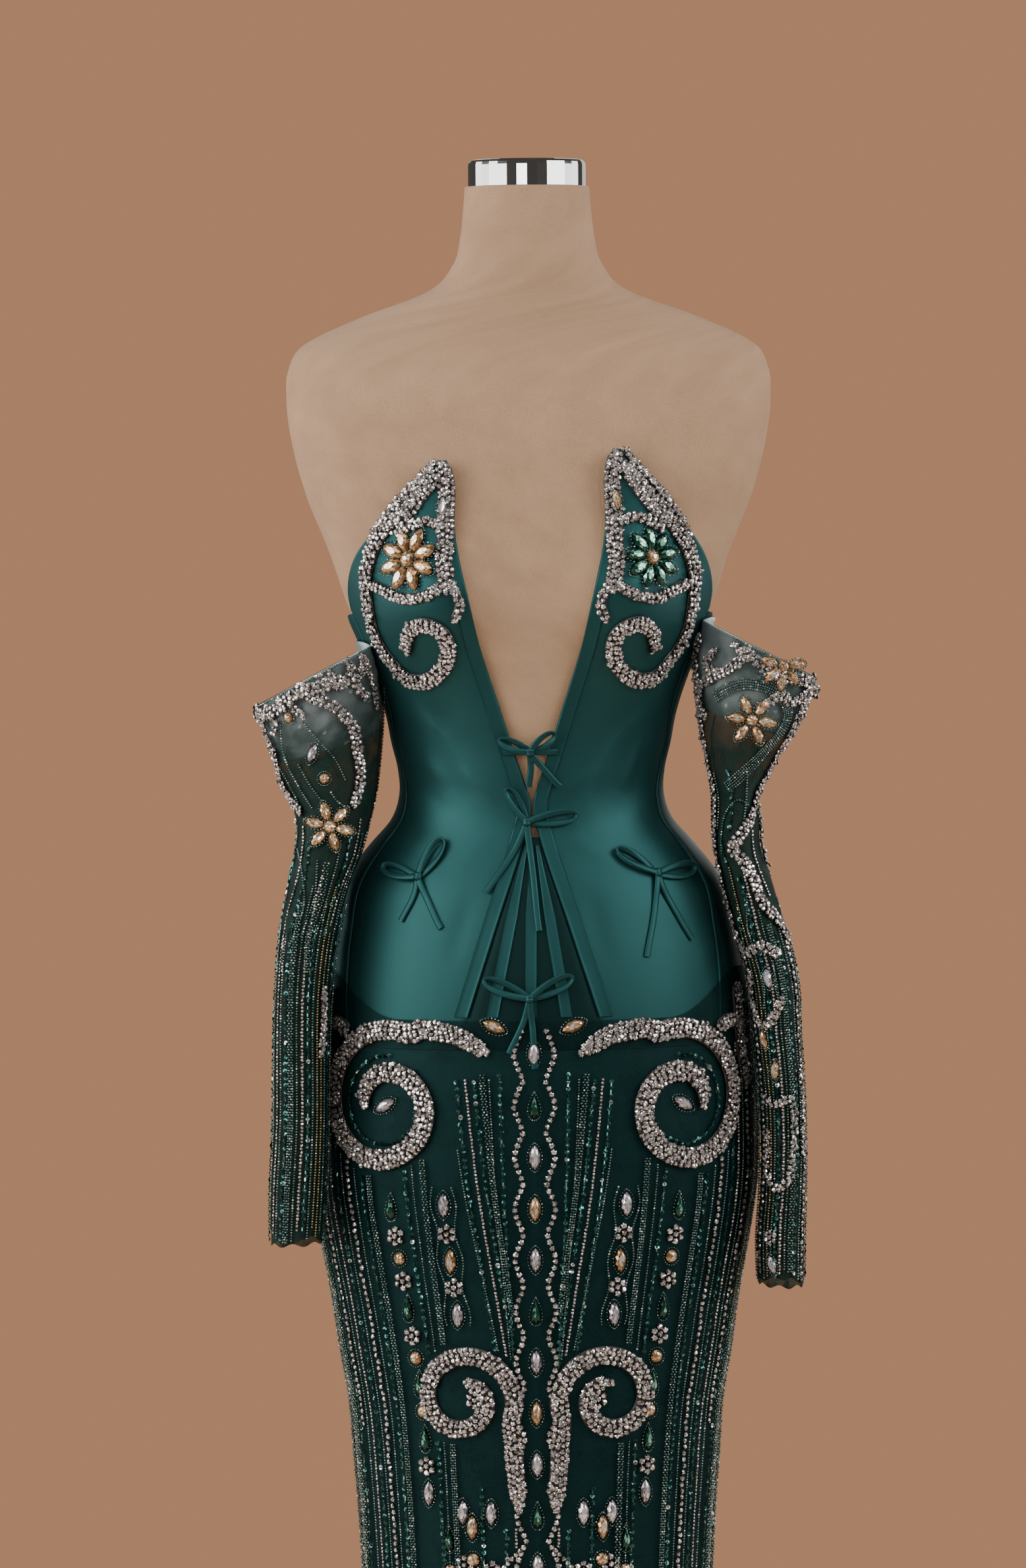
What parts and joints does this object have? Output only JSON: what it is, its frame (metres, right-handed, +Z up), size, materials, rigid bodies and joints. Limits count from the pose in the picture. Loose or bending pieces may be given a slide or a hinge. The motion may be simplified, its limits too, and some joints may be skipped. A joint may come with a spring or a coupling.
{
  "type": "evening dress on a dress form",
  "caption": "Strapless column evening dress of satin with a beaded tulle overlay, pointed cups, bows and loose tulle sleeves, worn by a limbless dress form on a round stand.",
  "frame": {"origin": "centre of the round base's underside, on the floor", "axes": "+Z up along the pole; -Y towards the front of the dress; +X to the right as seen from the front"},
  "size_m": [0.4528, 0.32, 1.5776],
  "materials": {
    "satin": "glossy deep teal satin",
    "tulle": "dark green tulle covered with beads",
    "organza": "crisp grey-blue organza",
    "crystal": "close-set faceted crystals",
    "champagne": "champagne glass beads",
    "emerald": "emerald glass beads",
    "jersey": "smooth matt flesh-toned jersey",
    "chrome": "polished",
    "painted_steel": "satin dark grey paint",
    "zip_metal": "dyed metal"
  },
  "bodies": {
    "dress_on_form": {"bodice_front_left": "satin", "bodice_front_right": "satin", "bodice_side_left": "satin", "bodice_side_right": "satin", "bodice_back_left": "satin", "bodice_back_right": "satin", "front_gusset": "satin", "edge_band_left": "satin", "edge_band_right": "satin", "fan_ribbon_1": "satin", "fan_ribbon_2": "satin", "fan_ribbon_3": "satin", "bow_upper": "satin", "bow_middle": "satin", "bow_lower": "satin", "bow_hip_left": "satin", "bow_hip_right": "satin", "skirt_front": "satin", "skirt_back_left": "satin", "skirt_back_right": "satin", "overlay_front": "tulle", "overlay_back_left": "tulle", "overlay_back_right": "tulle", "hip_scroll_left": "crystal", "hip_scroll_right": "crystal", "lower_scroll_left": "crystal", "lower_scroll_right": "crystal", "cup_scroll_left": "crystal", "cup_scroll_right": "crystal", "cup_flower_left": "champagne", "cup_flower_right": "emerald", "sleeve_flower_left": "champagne", "sleeve_flower_right": "champagne", "sleeve_left": "tulle", "sleeve_right": "tulle", "sleeve_facing_left": "organza", "sleeve_facing_right": "organza", "sleeve_collar_left": "crystal", "sleeve_collar_right": "crystal", "zip_slider": "zip_metal", "form_torso": "jersey", "form_neck_cap": "chrome", "form_pole": "chrome", "form_socket": "chrome", "form_base": "painted_steel"},
    "pull_tab": {"zip_pull_tab": "zip_metal"}
  },
  "joints": [
    {"name": "pull_tab_hinge", "type": "hinge", "parent": "dress_on_form", "child": "pull_tab", "pos_m": [0, 0.1019, 1.1686], "axis": [1, 0, 0], "range_deg": [0, 150]}
  ]
}
